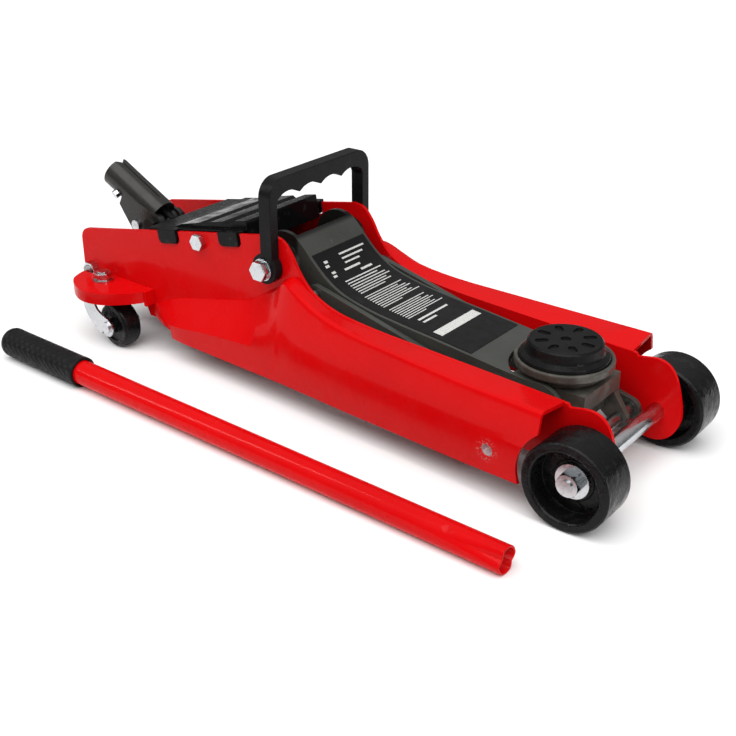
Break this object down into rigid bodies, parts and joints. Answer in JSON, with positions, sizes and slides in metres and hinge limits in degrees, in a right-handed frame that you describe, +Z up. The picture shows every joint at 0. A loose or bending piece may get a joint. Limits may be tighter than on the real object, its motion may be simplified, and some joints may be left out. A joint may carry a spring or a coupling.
{
  "type": "hydraulic trolley jack",
  "caption": "Low-profile hydraulic trolley jack on wheels and casters, with a lifting arm, level turning saddle, pump socket and detached pump handle.",
  "frame": {"origin": "centre of the bounding box, on the floor", "axes": "+X towards the saddle end, +Z up, the pump handle lies on the -Y side"},
  "size_m": [0.5948, 0.2683, 0.192],
  "materials": {
    "red_paint": "gloss",
    "arm_paint": "satin",
    "cast_metal": "satin",
    "pump_paint": "satin",
    "cylinder_steel": "satin",
    "bright_zinc": "bright zinc plate",
    "plain_steel": "satin",
    "black_oxide": "black oxide",
    "ram_chrome": "polished",
    "wheel_nylon": "gloss",
    "pad_rubber": "satin",
    "label_film": "satin",
    "cover_paint": "gloss",
    "black_plastic": "satin",
    "grip_rubber": "satin"
  },
  "bodies": {
    "chassis": {"side_plate_left": "red_paint", "side_plate_right": "red_paint", "caster_bracket_left": "red_paint", "caster_bracket_right": "red_paint", "power_unit": "pump_paint", "reservoir": "pump_paint", "hydraulic_cylinder": "cylinder_steel", "front_axle": "bright_zinc", "wheel_washers": "bright_zinc", "wheel_nuts": "bright_zinc", "front_spacers": "bright_zinc", "caster_stems": "bright_zinc", "caster_washers": "bright_zinc", "caster_nuts": "bright_zinc", "rear_tie_nuts": "bright_zinc", "upper_tie_bolts": "bright_zinc", "carry_bolts": "bright_zinc", "carry_washers": "bright_zinc", "rear_tie_rod": "plain_steel", "upper_tie_rod": "plain_steel", "arm_pivot_shaft": "plain_steel", "link_studs": "plain_steel", "cover_plate": "cover_paint", "filler_plug": "black_plastic"},
    "front_wheel_left": {"front_wheel_left": "wheel_nylon"},
    "front_wheel_right": {"front_wheel_right": "wheel_nylon"},
    "caster_swivel_left": {"caster_fork_left": "bright_zinc", "caster_pin_left": "bright_zinc"},
    "caster_swivel_right": {"caster_fork_right": "bright_zinc", "caster_pin_right": "bright_zinc"},
    "caster_wheel_left": {"caster_wheel_left": "wheel_nylon"},
    "caster_wheel_right": {"caster_wheel_right": "wheel_nylon"},
    "arm": {"lift_arm": "arm_paint", "arm_label": "label_film", "saddle_pin_bar": "plain_steel", "ram_pin_bar": "plain_steel"},
    "holder": {"saddle_holder": "cast_metal", "link_pin": "plain_steel"},
    "saddle": {"saddle_cup": "cast_metal", "saddle_pad": "pad_rubber"},
    "link_left": {"level_link_left": "arm_paint"},
    "link_right": {"level_link_right": "arm_paint"},
    "ram": {"ram": "ram_chrome", "ram_block": "cast_metal"},
    "socket": {"handle_socket": "arm_paint", "set_screw": "bright_zinc", "socket_pivot_bolt": "black_oxide", "socket_pivot_nut": "black_oxide", "pump_roller": "black_oxide", "roller_pin": "bright_zinc", "valve_knuckle": "black_plastic"},
    "plunger": {"pump_plunger": "ram_chrome"},
    "valve": {"release_valve": "black_plastic"},
    "carry": {"carry_handle": "black_plastic"},
    "pump_handle": {"handle_tube": "red_paint", "handle_grip": "grip_rubber"}
  },
  "joints": [
    {"name": "front_wheel_left_spin", "type": "hinge", "parent": "chassis", "child": "front_wheel_left", "pos_m": [0.2624, 0.1121, 0.035], "axis": [0, 1, 0], "continuous": true},
    {"name": "front_wheel_right_spin", "type": "hinge", "parent": "chassis", "child": "front_wheel_right", "pos_m": [0.2624, -0.0399, 0.035], "axis": [0, 1, 0], "continuous": true},
    {"name": "caster_left_swivel", "type": "hinge", "parent": "chassis", "child": "caster_swivel_left", "pos_m": [-0.2416, 0.1051, 0.052], "axis": [0, 0, 1], "continuous": true},
    {"name": "caster_right_swivel", "type": "hinge", "parent": "chassis", "child": "caster_swivel_right", "pos_m": [-0.2416, -0.0329, 0.052], "axis": [0, 0, 1], "continuous": true},
    {"name": "caster_left_roll", "type": "hinge", "parent": "caster_swivel_left", "child": "caster_wheel_left", "pos_m": [-0.21972, 0.1028, 0.021], "axis": [0.1045, 0.9945, 0], "continuous": true},
    {"name": "caster_right_roll", "type": "hinge", "parent": "caster_swivel_right", "child": "caster_wheel_right", "pos_m": [-0.21972, -0.0352, 0.021], "axis": [0.1045, 0.9945, 0], "continuous": true},
    {"name": "arm_lift", "type": "hinge", "parent": "chassis", "child": "arm", "pos_m": [-0.0406, 0.0361, 0.116], "axis": [0, -1, 0], "range_deg": [0, 60]},
    {"name": "holder_level", "type": "hinge", "parent": "arm", "child": "holder", "pos_m": [0.2064, 0.0361, 0.056], "axis": [0, -1, 0], "range_deg": [-60, 0]},
    {"name": "saddle_turn", "type": "hinge", "parent": "holder", "child": "saddle", "pos_m": [0.2064, 0.0361, 0.072], "axis": [0, 0, 1], "continuous": true},
    {"name": "link_left_swing", "type": "hinge", "parent": "chassis", "child": "link_left", "pos_m": [-0.0026, 0.0786, 0.096], "axis": [0, -1, 0], "range_deg": [0, 60]},
    {"name": "link_right_swing", "type": "hinge", "parent": "chassis", "child": "link_right", "pos_m": [-0.0026, -0.0064, 0.096], "axis": [0, -1, 0], "range_deg": [0, 60]},
    {"name": "ram_stroke", "type": "slide", "parent": "chassis", "child": "ram", "axis": [1, 0, 0], "range_m": [0, 0.0421]},
    {"name": "socket_pump", "type": "hinge", "parent": "chassis", "child": "socket", "pos_m": [-0.2276, 0.0361, 0.1], "axis": [0, 1, 0], "range_deg": [0, 50]},
    {"name": "plunger_stroke", "type": "slide", "parent": "chassis", "child": "plunger", "axis": [0, 0, 1], "range_m": [0, 0.0192]},
    {"name": "valve_turn", "type": "hinge", "parent": "chassis", "child": "valve", "pos_m": [-0.2026, 0.0361, 0.1], "axis": [1, 0, 0], "range_deg": [0, 90]},
    {"name": "carry_handle_fold", "type": "hinge", "parent": "chassis", "child": "carry", "pos_m": [-0.0406, 0.0361, 0.116], "axis": [0, 1, 0], "range_deg": [-55, 0]},
    {"name": "pump_handle_lift_off", "type": "slide", "parent": "chassis", "child": "pump_handle", "axis": [0, 0, 1], "range_m": [0, 0.3]}
  ],
  "couplings": [
    {"joint": "holder_level", "follows": "arm_lift", "ratio": -1},
    {"joint": "link_left_swing", "follows": "arm_lift", "ratio": 1},
    {"joint": "link_right_swing", "follows": "arm_lift", "ratio": 1},
    {"joint": "ram_stroke", "follows": "arm_lift", "m_per_rad": 0.0401},
    {"joint": "plunger_stroke", "follows": "socket_pump", "m_per_rad": 0.0218}
  ]
}
